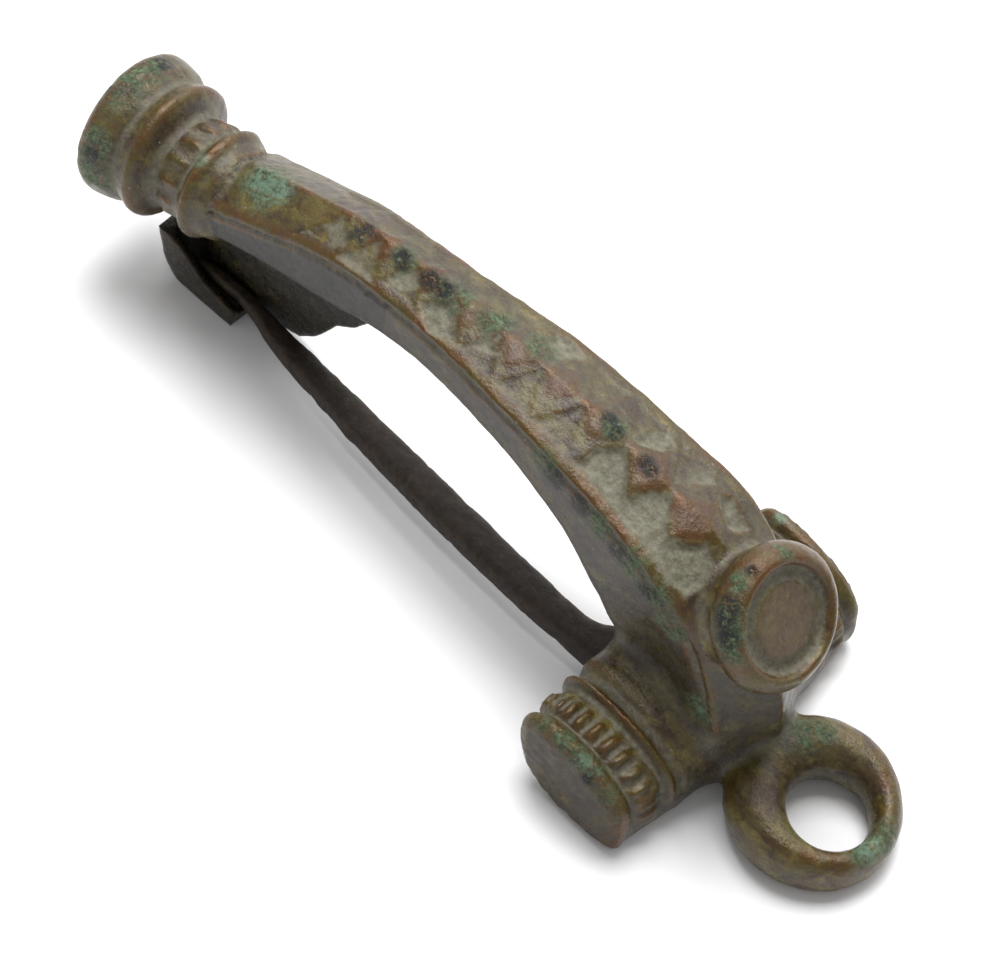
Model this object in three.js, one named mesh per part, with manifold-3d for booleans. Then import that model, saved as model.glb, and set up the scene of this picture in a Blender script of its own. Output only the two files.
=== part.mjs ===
// Roman headstud fibula: a bow brooch cast in one piece, with a pin hinged between its wings.
// Millimetres, +Z up. The brooch lies on its wings, its catch and its headloop.
// Construction frame: X runs from the foot knob to the headloop, the bow stands in the plane Y = 0
// and z = 0 is the surface it lies on. The whole model is moved along X at the end, so that the
// origin is under the middle of its length.

import * as THREE from 'three';
import { mergeVertices } from 'three/addons/utils/BufferGeometryUtils.js';
import Module from 'manifold-3d';

const wasm = await Module();
wasm.setup();

// ---------------------------------------------------------------- driving dimensions

const LOOP_END_X = 18.95;            // outer end of the headloop
const WING_HALF_SPAN = 10.05;        // from the bow's plane to each wing's end

// Bow: ridge and underside as matched stations from the foot to the ground under the head
const RIDGE = [
  [-31.9, 12.5], [-27.0, 14.8], [-21.8, 16.7], [-15.5, 17.25], [-8.5, 17.55], [-1.5, 16.8],
  [3.6, 15.6], [7.6, 12.6], [10.0, 7.8], [10.7, 3.6], [10.2, 0.0],
];
const UNDERSIDE = [
  [-33.0, 7.4], [-28.2, 9.2], [-22.9, 10.6], [-16.6, 12.6], [-9.8, 12.7], [-4.6, 11.1],
  [-1.5, 9.0], [0.2, 6.6], [0.9, 4.4], [1.2, 2.2], [1.5, 0.0],
];
const BOW_HALF_WIDTH = [2.85, 2.65, 2.45, 2.55, 3.2, 3.6, 3.95, 3.75, 3.5, 3.6, 3.7];
const ROOF_DROP = [2.0, 1.9, 1.35, 1.0, 0.95, 0.95, 1.2, 1.6, 1.8, 1.6, 1.4];
const BOW_STEPS = 34;

// Zig-zag of reserved lozenges along the ridge: triangular cells sunk on both sides of it
const CELL_FIRST_X = -23.4;
const CELL_PITCH = 2.75;             // the first step; each next one is longer by the growth
const CELL_PITCH_GROWTH = 0.05;
const CELL_COUNT = 9;
const CELL_DEPTH = 0.35;
const CELL_LENGTH = 2.3;

// Foot knob, turned about an axis that falls towards the foot
const KNOB_START = [-31.7, -0.2, 9.9];
const KNOB_SLOPE = THREE.MathUtils.degToRad(10);
const FLANGE_RADIUS = 4.35;
const SECOND_RING_RADIUS = 4.05;
const KNOB_GROOVE_RADIUS = 3.8;
const CORDON_RADIUS = 3.3;
const COLLAR_RADIUS = 2.95;
const COLLAR_RIBS = 14;

// Stud on the head
const STUD_RIM_CENTRE = [8.8, 14.0];
const STUD_RADIUS = 4.1;
const STUD_TILT = THREE.MathUtils.degToRad(52);   // from upright, towards the headloop
const STUD_DEPTH = 2.3;

// Wings: a low arch along Y, growing towards the head
const WING_FOOT_X = 0.75;            // upright side, towards the foot
const WING_END_WIDTH = 7.6;
const WING_INNER_WIDTH = 9.0;
const WING_END_HEIGHT = 5.9;
const WING_INNER_HEIGHT = 6.1;
const WING_TEETH = 13;

// Headloop, an eccentric ring lying almost flat
const LOOP_RADIUS = 4.95;
const LOOP_Y = -0.3;                 // the ring sits a little to the near side
const LOOP_CENTRE_X = LOOP_END_X - LOOP_RADIUS;
const HOLE_RADIUS = 2.35;
const HOLE_CENTRE_X = 15.05;
const LOOP_END_HEIGHT = 2.7;
const LOOP_ROOT_HEIGHT = 4.0;

// Catchplate under the foot half of the bow, with its lower edge turned up as a lip
const CATCH_PLATE_Y = [0.6, 1.7];
const CATCH_LIP_Y = [-1.1, -0.55];
const CATCH_PLATE_OUTLINE = [
  [-33.4, 0.4], [-28.7, 0.1], [-25.2, 1.3], [-24.2, 2.4], [-22.9, 4.9], [-21.8, 5.9],
  [-21.0, 7.3], [-21.0, 12.6], [-31.0, 10.4], [-33.6, 8.6], [-34.6, 5.5], [-34.9, 3.3],
];
const CATCH_FLOOR_OUTLINE = [
  [-32.8, 0], [-28.7, 0], [-28.7, 0.75], [-32.4, 0.75], [-33.3, 1.6], [-33.9, 3.3],
  [-34.9, 3.3], [-34.2, 1.4], [-33.4, 0.4],
];
const CATCH_LIP_OUTLINE = [
  [-32.8, 0.2], [-28.7, 0.2], [-28.6, 1.3], [-31.0, 1.7], [-33.2, 3.1], [-34.8, 3.3],
  [-34.2, 1.4], [-33.4, 0.5],
];

// Hinge: an axis bar in a bore through the wings, with the pin's head in a slot behind the head
const HINGE_X = 4.4;
const HINGE_Z = 2.2;
const BAR_RADIUS = 0.7;
const BORE_RADIUS = 1.0;
const BAR_NEAR_Y = -8.7;
const BAR_FAR_Y = 9.55;
const SLOT_Y = [-3.5, 1.7];
const SLOT_RADIUS = 2.35;
const SLOT_MOUTH_X = -6;             // the slot runs out through the foot side of the head

// Pin
const PIN_HEAD_Y = [-3.3, 1.5];
const PIN_HEAD_RADIUS = 1.85;
const PIN_HEAD_BORE = 1.0;
const PIN_Z = 1.95;                  // middle of the shaft where it leaves the head
const PIN_THICKNESS = 1.6;

const CURVE_STEPS = 32;              // sides of turned shapes

// ---------------------------------------------------------------- materials

const bronze = new THREE.MeshStandardMaterial({ color: 0x6b5a3c, roughness: 0.5, metalness: 0.6 });
const darkBronze = new THREE.MeshStandardMaterial({ color: 0x4d4433, roughness: 0.65, metalness: 0.5 });
const barMetal = new THREE.MeshStandardMaterial({ color: 0x5a4a36, roughness: 0.7, metalness: 0.5 });

// ---------------------------------------------------------------- solids and meshes

function toSolid(geometry) {
  let bare = geometry.clone();
  bare.deleteAttribute('normal');
  bare.deleteAttribute('uv');
  bare = mergeVertices(bare, 1e-4);
  const mesh = new wasm.Mesh({
    numProp: 3,
    vertProperties: Float32Array.from(bare.attributes.position.array),
    triVerts: Uint32Array.from(bare.index.array),
  });
  return new wasm.Manifold(mesh);
}

function toGeometry(solid) {
  const mesh = solid.getMesh();
  const geometry = new THREE.BufferGeometry();
  geometry.setAttribute('position', new THREE.BufferAttribute(mesh.vertProperties, 3));
  geometry.setIndex(new THREE.BufferAttribute(mesh.triVerts, 1));
  geometry.computeVertexNormals();
  return geometry;
}

// A skin over a row of rings with equal point counts, closed by flat caps or back onto itself
function loft(rings, closeOnItself = false) {
  const count = rings[0].length;
  const positions = rings.flat().flatMap((point) => [point.x, point.y, point.z]);
  const indices = [];
  const last = closeOnItself ? rings.length : rings.length - 1;
  for (let ring = 0; ring < last; ring += 1) {
    const next = (ring + 1) % rings.length;
    for (let side = 0; side < count; side += 1) {
      const turn = (side + 1) % count;
      const a = ring * count + side;
      const b = ring * count + turn;
      const c = next * count + turn;
      const d = next * count + side;
      indices.push(a, b, c, a, c, d);
    }
  }
  if (!closeOnItself) {
    addCap(positions, indices, rings[0], 0, true);
    addCap(positions, indices, rings[rings.length - 1], (rings.length - 1) * count, false);
  }
  const geometry = new THREE.BufferGeometry();
  geometry.setAttribute('position', new THREE.Float32BufferAttribute(positions, 3));
  geometry.setIndex(indices);
  return geometry;
}

function addCap(positions, indices, ring, start, first) {
  const centre = ring.reduce((sum, point) => sum.add(point), new THREE.Vector3());
  centre.divideScalar(ring.length);
  const middle = positions.length / 3;
  positions.push(centre.x, centre.y, centre.z);
  for (let side = 0; side < ring.length; side += 1) {
    const a = start + side;
    const b = start + (side + 1) % ring.length;
    if (first) indices.push(middle, b, a);
    else indices.push(middle, a, b);
  }
}

// Makes a lofted solid whichever way its rings turn
function loftSolid(rings, closeOnItself = false) {
  const solid = toSolid(loft(rings, closeOnItself));
  if (solid.volume() > 0) return solid;
  return toSolid(loft(rings.map((ring) => [...ring].reverse()), closeOnItself));
}

function boxSolid(x, y, z) {
  const box = new THREE.BoxGeometry(x[1] - x[0], y[1] - y[0], z[1] - z[0]);
  box.translate((x[0] + x[1]) / 2, (y[0] + y[1]) / 2, (z[0] + z[1]) / 2);
  return toSolid(box);
}

function rodSolid(radius, y, x, z, sides = 24) {
  const rod = new THREE.CylinderGeometry(radius, radius, y[1] - y[0], sides);
  rod.translate(x, (y[0] + y[1]) / 2, z);
  return toSolid(rod);
}

// Reads a list of station values at a place between 0 and 1
function along(values, place) {
  const curve = new THREE.SplineCurve(values.map((value, index) => new THREE.Vector2(index, value)));
  return curve.getPoint(place).y;
}

function pathPoint(stations, place) {
  const curve = new THREE.SplineCurve(stations.map(([x, z]) => new THREE.Vector2(x, z)));
  return curve.getPoint(place);
}

// ---------------------------------------------------------------- bow and head

// Half of the bow's section from the ridge to the underside:
// [share of the half width, height from the ridge in roof drops, height share below the roof]
const BOW_SECTION = [
  [0.5, -0.45, 0],
  [0.94, -0.94, 0],
  [1.0, -1.0, 0.03],
  [0.94, -1.0, 0.1],
  [0.99, -1.0, 0.17],
  [1.0, -1.0, 0.24],
  [0.95, -1.0, 0.6],
  [0.86, -1.0, 0.92],
  [0.7, -1.0, 1.0],
];

function bowRing(place) {
  const top = pathPoint(RIDGE, place);
  const bottom = pathPoint(UNDERSIDE, place);
  const halfWidth = along(BOW_HALF_WIDTH, place);
  const drop = along(ROOF_DROP, place);
  const depth = top.distanceTo(bottom);
  const up = top.clone().sub(bottom).divideScalar(depth);
  const rest = depth - drop;
  const at = (side, share, roof, wall) => {
    const height = depth + roof * drop - wall * rest;
    return new THREE.Vector3(bottom.x + up.x * height, side * share * halfWidth, bottom.y + up.y * height);
  };
  const right = BOW_SECTION.map(([share, roof, wall]) => at(-1, share, roof, wall));
  const left = BOW_SECTION.map(([share, roof, wall]) => at(1, share, roof, wall)).reverse();
  return [at(0, 0, 0, 0), ...right, ...left];
}

function bow() {
  const rings = [];
  for (let step = 0; step <= BOW_STEPS; step += 1) rings.push(bowRing(step / BOW_STEPS));
  return loftSolid(rings);
}

// Where the ridge passes a given x, and the way it runs there
function ridgeAt(x) {
  let low = 0;
  let high = 0.8;
  for (let step = 0; step < 30; step += 1) {
    const middle = (low + high) / 2;
    if (pathPoint(RIDGE, middle).x < x) low = middle;
    else high = middle;
  }
  const point = pathPoint(RIDGE, low);
  const ahead = pathPoint(RIDGE, low + 0.01).sub(pathPoint(RIDGE, low - 0.01));
  return { place: low, point, slope: Math.atan2(ahead.y, ahead.x) };
}

function cellCentre(index) {
  return CELL_FIRST_X + index * CELL_PITCH + (index * (index - 1) / 2) * CELL_PITCH_GROWTH;
}

// A triangular cell with its point at the ridge, sunk square to one side of the roof
function ridgeCell(x, side) {
  const { place, point, slope } = ridgeAt(x);
  const halfWidth = along(BOW_HALF_WIDTH, place);
  const roof = Math.atan2(along(ROOF_DROP, place), halfWidth);
  const reach = 0.76 * halfWidth;
  const outline = new THREE.Shape();
  outline.moveTo(0, 0.12 * halfWidth);
  outline.lineTo(CELL_LENGTH / 2, reach);
  outline.lineTo(-CELL_LENGTH / 2, reach);
  const cell = new THREE.ExtrudeGeometry(outline, { depth: 2, bevelEnabled: false, steps: 1 });
  cell.translate(0, 0, -CELL_DEPTH);
  if (side < 0) cell.rotateZ(Math.PI);
  cell.rotateX(-side * roof);
  cell.rotateY(-slope);
  cell.translate(point.x, 0, point.y);
  return toSolid(cell);
}

// ---------------------------------------------------------------- foot knob

function knobGeometry() {
  const profile = [
    [0, -1.6], [2.6, -1.6], [2.9, -0.45], [CORDON_RADIUS - 0.08, -0.25], [CORDON_RADIUS, 0],
    [CORDON_RADIUS - 0.1, 0.25], [COLLAR_RADIUS - 0.1, 0.45], [COLLAR_RADIUS, 0.8],
    [COLLAR_RADIUS, 2.0], [COLLAR_RADIUS - 0.15, 2.35], [COLLAR_RADIUS + 0.1, 2.75],
    [SECOND_RING_RADIUS - 0.3, 3.15], [SECOND_RING_RADIUS - 0.04, 3.4], [SECOND_RING_RADIUS, 3.65],
    [SECOND_RING_RADIUS - 0.1, 3.95], [KNOB_GROOVE_RADIUS + 0.05, 4.3], [KNOB_GROOVE_RADIUS, 4.6],
    [KNOB_GROOVE_RADIUS + 0.2, 4.9], [FLANGE_RADIUS - 0.2, 5.6], [FLANGE_RADIUS - 0.03, 6.2],
    [FLANGE_RADIUS, 6.5], [FLANGE_RADIUS - 0.15, 6.8], [FLANGE_RADIUS - 0.7, 7.1],
    [FLANGE_RADIUS / 2, 7.4], [0, 7.5],
  ];
  return new THREE.LatheGeometry(profile.map(([r, s]) => new THREE.Vector2(r, s)), CURVE_STEPS);
}

// Turns and moves a shape made about the Y axis onto the knob's axis, towards the foot
function ontoKnob(geometry) {
  geometry.rotateZ(Math.PI / 2);
  geometry.rotateY(-KNOB_SLOPE);
  geometry.translate(...KNOB_START);
  return geometry;
}

// Small upright ribs around the collar
function collarRib(index) {
  const rib = new THREE.CylinderGeometry(0.42, 0.42, 1.2, 6);
  rib.translate(COLLAR_RADIUS - 0.15, 1.4, 0);
  rib.rotateY((index / COLLAR_RIBS) * 2 * Math.PI);
  return toSolid(ontoKnob(rib));
}

function knob() {
  let solid = toSolid(ontoKnob(knobGeometry()));
  for (let index = 0; index < COLLAR_RIBS; index += 1) solid = solid.add(collarRib(index));
  return solid;
}

// ---------------------------------------------------------------- stud

function stud() {
  const neck = STUD_RADIUS - 0.75;
  const profile = [
    [0, -STUD_DEPTH - 2.2], [neck, -STUD_DEPTH - 2.2], [neck + 0.05, -STUD_DEPTH + 0.3],
    [neck + 0.25, -STUD_DEPTH + 0.8], [STUD_RADIUS - 0.12, -1.05],
    [STUD_RADIUS, -0.65], [STUD_RADIUS - 0.15, -0.25], [STUD_RADIUS - 0.5, 0],
    [STUD_RADIUS - 0.85, -0.05], [STUD_RADIUS - 1.1, -0.3], [STUD_RADIUS - 1.25, -0.5],
    [STUD_RADIUS - 2.2, -0.5], [STUD_RADIUS - 2.35, -0.32], [STUD_RADIUS - 2.6, -0.25], [0, -0.2],
  ];
  const points = profile.map(([r, s]) => new THREE.Vector2(r, s));
  const turned = new THREE.LatheGeometry(points, CURVE_STEPS);
  turned.rotateX(Math.PI / 2);
  turned.rotateY(STUD_TILT);
  turned.translate(STUD_RIM_CENTRE[0], 0, STUD_RIM_CENTRE[1]);
  return toSolid(turned);
}

// ---------------------------------------------------------------- wings

// Mouldings from a wing's end inwards: [distance from the end, height above the plain arch]
const WING_MOULDINGS = [
  [0, -0.65], [0.12, -0.3], [0.45, 0], [0.95, -0.03], [1.1, -0.4], [1.35, -0.4], [1.5, -0.15],
  [2.95, -0.15], [3.1, -0.45], [3.4, -0.45], [3.55, -0.05], [3.8, 0.12], [4.05, -0.05],
  [4.2, -0.3], [4.6, -0.25], [5.1, 0],
];
const TOOTH_BAND = [1.5, 2.95];
const WING_SIDES = 34;

// Outline of the arch: [share of the width from the foot side, share of the height]
const WING_OUTLINE = [
  [1.0, 0.12], [1.0, 0.45], [0.93, 0.68], [0.67, 0.9], [0.36, 0.99], [0.12, 0.97],
  [0.0, 0.8], [0.02, 0.5], [0.16, 0.18], [0.42, 0.0], [0.68, 0.0], [0.92, 0.0],
].map(([across, up]) => new THREE.Vector3(across, up, 0));
const wingCurve = new THREE.CatmullRomCurve3(WING_OUTLINE, true, 'centripetal');

// The arch at a distance from the bow's plane, grown by an offset, at one place round its outline
function wingPoint(y, offset, turn) {
  const share = Math.min(1, Math.abs(y) / WING_HALF_SPAN);
  const width = THREE.MathUtils.lerp(WING_INNER_WIDTH, WING_END_WIDTH, share);
  const height = THREE.MathUtils.lerp(WING_INNER_HEIGHT, WING_END_HEIGHT, share);
  const point = wingCurve.getPoint(turn);
  const across = (point.x - 0.5) * (width + 2 * offset) + width / 2;
  const up = (point.y - 0.5) * (height + 2 * offset) + height / 2;
  return new THREE.Vector3(WING_FOOT_X + across, y, Math.max(0, up));
}

function wingRing(y, offset) {
  const ring = [];
  for (let side = 0; side < WING_SIDES; side += 1) {
    ring.push(wingPoint(y, offset, side / WING_SIDES));
  }
  return ring;
}

// A raised tooth of the band, square to the arch
function wingTooth(end, index) {
  const turn = 0.05 + (index / (WING_TEETH - 1)) * 0.42;
  const middle = WING_HALF_SPAN - (TOOTH_BAND[0] + TOOTH_BAND[1]) / 2;
  const at = wingPoint(end * middle, -0.15, turn);
  const beside = wingPoint(end * middle, -0.15, turn + 0.01);
  const tooth = new THREE.BoxGeometry(0.42, TOOTH_BAND[1] - TOOTH_BAND[0] - 0.2, 0.42);
  tooth.rotateY(-Math.atan2(beside.z - at.z, beside.x - at.x));
  tooth.translate(at.x, at.y, at.z);
  return toSolid(tooth);
}

function wings() {
  const near = WING_MOULDINGS.map(([inward, offset]) => wingRing(inward - WING_HALF_SPAN, offset));
  const far = WING_MOULDINGS.map(([inward, offset]) => wingRing(WING_HALF_SPAN - inward, offset));
  let solid = loftSolid([...near, ...far.reverse()]);
  for (const end of [-1, 1]) {
    for (let index = 0; index < WING_TEETH; index += 1) solid = solid.add(wingTooth(end, index));
  }
  return solid;
}

// ---------------------------------------------------------------- headloop

function headloop() {
  const steps = 40;
  const sides = 14;
  const shift = HOLE_CENTRE_X - LOOP_CENTRE_X;
  const rings = [];
  for (let step = 0; step < steps; step += 1) {
    const turn = (step / steps) * 2 * Math.PI;
    const reach = Math.sqrt(LOOP_RADIUS ** 2 - (shift * Math.sin(turn)) ** 2) - shift * Math.cos(turn);
    const middle = (reach + HOLE_RADIUS) / 2;
    const half = (reach - HOLE_RADIUS) / 2;
    const height = THREE.MathUtils.lerp(LOOP_END_HEIGHT, LOOP_ROOT_HEIGHT, (1 - Math.cos(turn)) / 2);
    const ring = [];
    for (let side = 0; side < sides; side += 1) {
      const angle = (side / sides) * 2 * Math.PI;
      const radius = middle + half * Math.cos(angle);
      const z = (height / 2) * (1 + Math.sin(angle));
      const x = HOLE_CENTRE_X + radius * Math.cos(turn);
      ring.push(new THREE.Vector3(x, LOOP_Y + radius * Math.sin(turn), z));
    }
    rings.push(ring);
  }
  return loftSolid(rings, true);
}

// ---------------------------------------------------------------- catchplate

// A plate standing in the bow's direction, from its outline seen from the side
function uprightPlate(points, y) {
  const outline = new THREE.Shape(points.map(([x, z]) => new THREE.Vector2(x, z)));
  const plate = new THREE.ExtrudeGeometry(outline, { depth: y[1] - y[0], bevelEnabled: false });
  plate.rotateX(Math.PI / 2);
  plate.translate(0, y[1], 0);
  return toSolid(plate);
}

// The plate, with the head side edge slanting down, and its lower edge turned up as a lip
function catchplate() {
  return uprightPlate(CATCH_PLATE_OUTLINE, CATCH_PLATE_Y)
    .add(uprightPlate(CATCH_FLOOR_OUTLINE, [CATCH_LIP_Y[0], CATCH_PLATE_Y[1]]))
    .add(uprightPlate(CATCH_LIP_OUTLINE, CATCH_LIP_Y));
}

// ---------------------------------------------------------------- hinge

// Room for the pin's head to turn in, open to the foot side and below
function hingeSlot() {
  const reach = HINGE_X + SLOT_RADIUS;
  return rodSolid(SLOT_RADIUS, SLOT_Y, HINGE_X, HINGE_Z, 32)
    .add(boxSolid([SLOT_MOUTH_X, HINGE_X], SLOT_Y, [-1, HINGE_Z + SLOT_RADIUS]))
    .add(boxSolid([HINGE_X - 1, reach], SLOT_Y, [-1, HINGE_Z]));
}

function hingeBore() {
  return rodSolid(BORE_RADIUS, [BAR_NEAR_Y - 0.3, WING_HALF_SPAN + 1], HINGE_X, HINGE_Z);
}

function hingeBar() {
  return rodSolid(BAR_RADIUS, [BAR_NEAR_Y, BAR_FAR_Y], HINGE_X, HINGE_Z);
}

// ---------------------------------------------------------------- pin

// Shaft stations from the head to the point: [x, y, z, width, thickness]
const PIN_STATIONS = [
  [-0.4, -2.15, PIN_Z, 2.1, PIN_THICKNESS], [-6.0, -2.1, 1.9, 2.15, 1.6], [-14.0, -1.6, 1.8, 2.15, 1.6],
  [-20.5, -1.05, 1.7, 1.85, 1.45], [-25.3, -0.55, 1.6, 1.4, 1.2], [-28.4, 0.02, 1.55, 0.85, 0.9],
  [-31.0, 0.05, 1.55, 0.75, 0.75], [-32.6, 0.05, 1.5, 0.3, 0.3],
];

// A flattened bar with its four corners taken off
function pinRing([x, y, z, width, thickness]) {
  const side = width / 2;
  const face = thickness / 2;
  const cut = 0.3 * thickness;
  const corners = [
    [side, face - cut], [side - cut, face], [cut - side, face], [-side, face - cut],
    [-side, cut - face], [cut - side, -face], [side - cut, -face], [side, cut - face],
  ];
  return corners.map(([across, up]) => new THREE.Vector3(x, y + across, z + up));
}

// The broad head round the bar, with a shoulder on the far side of the shaft
function pinHead() {
  const outline = new THREE.Shape();
  outline.moveTo(-2.0, PIN_HEAD_Y[0] + 0.15);
  outline.lineTo(HINGE_X, PIN_HEAD_Y[0]);
  outline.lineTo(HINGE_X, PIN_HEAD_Y[1]);
  outline.lineTo(1.6, PIN_HEAD_Y[1]);
  outline.quadraticCurveTo(0.6, 0.9, -0.3, -0.4);
  outline.quadraticCurveTo(-0.9, -1.1, -2.0, -1.3);
  const block = new THREE.ExtrudeGeometry(outline, {
    depth: PIN_THICKNESS, bevelEnabled: false, curveSegments: 6,
  });
  block.translate(0, 0, PIN_Z - PIN_THICKNESS / 2);
  return rodSolid(PIN_HEAD_RADIUS, PIN_HEAD_Y, HINGE_X, HINGE_Z, 32).add(toSolid(block));
}

function pin() {
  const bore = rodSolid(PIN_HEAD_BORE, [PIN_HEAD_Y[0] - 1, PIN_HEAD_Y[1] + 1], HINGE_X, HINGE_Z);
  return pinHead().add(loftSolid(PIN_STATIONS.map(pinRing))).subtract(bore);
}

// ---------------------------------------------------------------- the casting and the group

function casting() {
  let solid = bow().add(knob()).add(stud()).add(wings()).add(headloop()).add(catchplate());
  for (let index = 0; index < CELL_COUNT; index += 1) {
    const x = cellCentre(index);
    solid = solid.subtract(ridgeCell(x, -1)).subtract(ridgeCell(x, 1));
  }
  return solid.subtract(hingeSlot()).subtract(hingeBore());
}

function namedMesh(name, solid, material) {
  const mesh = new THREE.Mesh(toGeometry(solid), material);
  mesh.name = name;
  return mesh;
}

const brooch = new THREE.Group();
brooch.add(namedMesh('brooch_casting', casting(), bronze));
brooch.add(namedMesh('hinge_bar', hingeBar(), barMetal));
brooch.add(namedMesh('pin', pin(), darkBronze));
const box = new THREE.Box3().setFromObject(brooch);
brooch.position.x = -(box.min.x + box.max.x) / 2;
brooch.updateMatrixWorld(true);

export default brooch;
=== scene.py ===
# Roman headstud fibula, dressed for rendering: the cast brooch, its hinge bar and its pin.
# Shapes are worked out in the brooch's own frame, in millimetres: X from the foot knob to the
# headloop, the bow standing in the plane y = 0, z = 0 the surface that the brooch lies on.

import math

import bpy
import numpy as np
from bpy.props import FloatProperty, FloatVectorProperty, IntProperty, PointerProperty
from mathutils import Matrix, Vector, noise
from mathutils.bvhtree import BVHTree


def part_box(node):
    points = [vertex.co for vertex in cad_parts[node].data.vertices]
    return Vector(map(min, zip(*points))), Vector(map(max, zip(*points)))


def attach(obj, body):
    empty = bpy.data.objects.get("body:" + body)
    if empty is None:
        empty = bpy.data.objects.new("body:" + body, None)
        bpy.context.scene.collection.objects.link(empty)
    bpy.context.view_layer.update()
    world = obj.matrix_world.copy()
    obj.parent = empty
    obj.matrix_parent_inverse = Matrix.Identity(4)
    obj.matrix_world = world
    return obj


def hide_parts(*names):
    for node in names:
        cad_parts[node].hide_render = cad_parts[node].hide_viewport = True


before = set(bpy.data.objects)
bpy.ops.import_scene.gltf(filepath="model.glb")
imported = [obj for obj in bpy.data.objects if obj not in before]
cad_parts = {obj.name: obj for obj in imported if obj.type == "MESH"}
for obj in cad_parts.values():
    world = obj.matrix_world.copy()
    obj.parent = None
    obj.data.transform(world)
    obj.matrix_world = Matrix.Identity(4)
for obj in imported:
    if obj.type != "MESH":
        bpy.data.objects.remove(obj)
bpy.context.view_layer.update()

bl_info = {
    "name": "Headstud fibula",
    "version": (1, 0, 0),
    "blender": (4, 5, 0),
    "location": "View3D > Sidebar > Fibula",
    "description": "Makes a Roman headstud brooch with its pin, patina and studio",
    "category": "Add Mesh",
}

CASTING_LOW, CASTING_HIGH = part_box("brooch_casting")
PIN_LOW, PIN_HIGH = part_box("pin")
MM = 0.001

# ---------------------------------------------------------------- driving dimensions, mm

LOOP_END_X = 18.95
FRAME_X = CASTING_HIGH.x / MM - LOOP_END_X      # where the brooch's own frame stands in the row
WING_HALF_SPAN = CASTING_HIGH.y / MM

# Bow: ridge and underside as matched stations from the foot to the ground under the head
RIDGE = [
    (-31.9, 12.5), (-27.0, 14.8), (-21.8, 16.7), (-15.5, 17.25), (-8.5, 17.55), (-1.5, 16.8),
    (3.6, 15.6), (7.6, 12.6), (10.0, 7.8), (10.7, 3.6), (10.2, 0.0),
]
UNDERSIDE = [
    (-33.0, 7.4), (-28.2, 9.2), (-22.9, 10.6), (-16.6, 12.6), (-9.8, 12.7), (-4.6, 11.1),
    (-1.5, 9.0), (0.2, 6.6), (0.9, 4.4), (1.2, 2.2), (1.5, 0.0),
]
BOW_HALF_WIDTH = [2.85, 2.65, 2.45, 2.55, 3.2, 3.6, 3.95, 3.75, 3.5, 3.6, 3.7]
ROOF_DROP = [2.0, 1.9, 1.35, 1.0, 0.95, 0.95, 1.2, 1.6, 1.8, 1.6, 1.4]

# Half of the bow's section: (share of the half width, height in roof drops, share of the wall)
BOW_SECTION = [
    (0.0, 0.0, 0.0), (0.3, -0.27, 0.0), (0.62, -0.59, 0.0), (0.9, -0.9, 0.0), (0.985, -1.0, 0.0),
    (1.0, -1.0, 0.03), (1.0, -1.0, 0.1), (0.99, -1.0, 0.2), (0.97, -1.0, 0.4), (0.95, -1.0, 0.6),
    (0.9, -1.0, 0.85), (0.82, -1.0, 0.96), (0.68, -1.0, 1.0), (0.3, -1.0, 1.0),
]
MARGIN_GROOVE = (0.52, 0.26, 0.2)    # below the roof's edge, half width, depth
HEAD_HOLLOW = 0.12                   # how far the head's sides are hollowed, in half widths

# Zig-zag along the ridge
CELL_FIRST_X = -23.4
CELL_PITCH = 2.75
CELL_PITCH_GROWTH = 0.05
CELL_COUNT = 9
CELL_REACH = 0.78                    # share of the half width at the cell's outer side
WORN_CELL_DEPTH = 0.09
# Lozenges that still stand up on the ridge: (start, end, reach to the near and the far side, height)
LOZENGES = [
    (-21.4, -18.8, 1.2, 0.8, 0.08), (-18.5, -15.7, 1.2, 0.9, 0.09), (-15.5, -12.8, 1.5, 1.0, 0.08),
    (-12.2, -9.3, 1.5, 1.2, 0.07), (-9.2, -6.7, 1.3, 1.2, 0.05), (-6.6, -3.15, 1.35, 1.2, 0.1),
    (-3.1, 0.15, 1.85, 1.45, 0.13), (0.2, 3.7, 1.85, 1.4, 0.12),
]
# Cells that keep their grey fill, as outlines from above, each with its depth and paleness
FILLED_CELLS = [
    ([(-23.9, -1.1), (-23.2, -0.5), (-22.1, -1.4), (-22.6, -1.9)], 0.12, 0.7),
    ([(-22.0, -2.2), (-21.8, -1.6), (-21.0, -1.1), (-19.4, -2.15), (-20.8, -2.2)], 0.16, 0.65),
    ([(-19.0, -0.9), (-18.2, -0.5), (-17.3, -0.9), (-18.0, -1.6), (-18.9, -1.6)], 0.22, 1.0),
    ([(-16.5, -1.6), (-15.8, -0.6), (-14.9, -0.85), (-13.5, -2.1), (-15.3, -2.4)], 0.26, 1.0),
    ([(-12.7, -0.55), (-13.1, -1.8), (-11.4, -1.15)], 0.2, 0.9),
    ([(-10.7, 1.6), (-9.9, 2.7), (-8.3, 2.3), (-9.3, 0.9)], 0.25, 1.0),
    ([(-3.5, 0.6), (-2.5, 2.6), (-1.5, 2.0), (-2.0, 1.25), (-2.8, 0.5)], 0.26, 1.0),
    ([(-0.4, 1.8), (0.2, 2.6), (1.2, 2.4), (0.4, 1.0)], 0.16, 0.5),
    ([(1.8, 1.9), (2.2, 2.6), (4.0, 2.3), (3.5, 1.0)], 0.26, 1.0),
    ([(-4.3, -1.4), (-3.8, -0.9), (-3.1, -0.3), (-2.6, -0.6), (-1.35, -2.0), (0.2, -0.2),
      (0.6, -0.75), (1.7, -2.0), (2.8, -1.25), (3.4, -0.6), (4.2, -0.9), (4.6, -2.2), (4.2, -3.1),
      (2.9, -3.35), (1.6, -3.2), (0.2, -3.1), (-0.9, -3.05), (-2.0, -2.9), (-3.2, -2.75),
      (-4.4, -2.7), (-4.1, -2.2)], 0.24, 0.95),
]

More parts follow.
